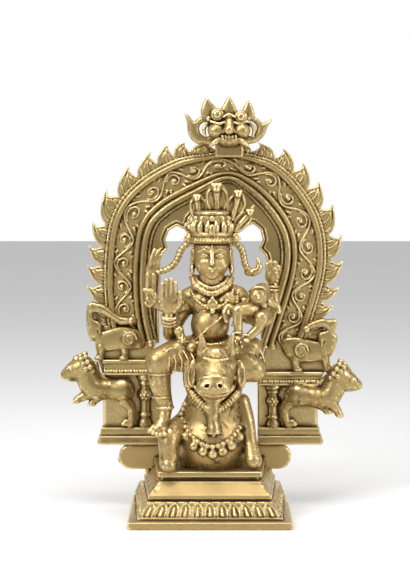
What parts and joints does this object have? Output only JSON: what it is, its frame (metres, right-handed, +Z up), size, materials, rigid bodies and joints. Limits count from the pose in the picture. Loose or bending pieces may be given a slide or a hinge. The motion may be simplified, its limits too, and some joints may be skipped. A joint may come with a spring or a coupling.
{
  "type": "uma-maheshvara figure",
  "caption": "Cast brass shrine group: seated four-armed god with his consort on his thigh, on a reclining bull and stepped plinth, with a leaf-edged arch behind.",
  "frame": {"origin": "middle of the plinth's underside", "axes": "+Z up, +X to the viewer's right, -Y towards the viewer"},
  "size_m": [0.2192, 0.0944, 0.2996],
  "materials": {
    "figure_brass": "cast, worn bright on the high spots, dark in the recesses",
    "aureole_brass": "cast, dull, dark in the recesses"
  },
  "bodies": {
    "root": {"figure_group": "figure_brass", "aureole": "aureole_brass"}
  },
  "joints": []
}
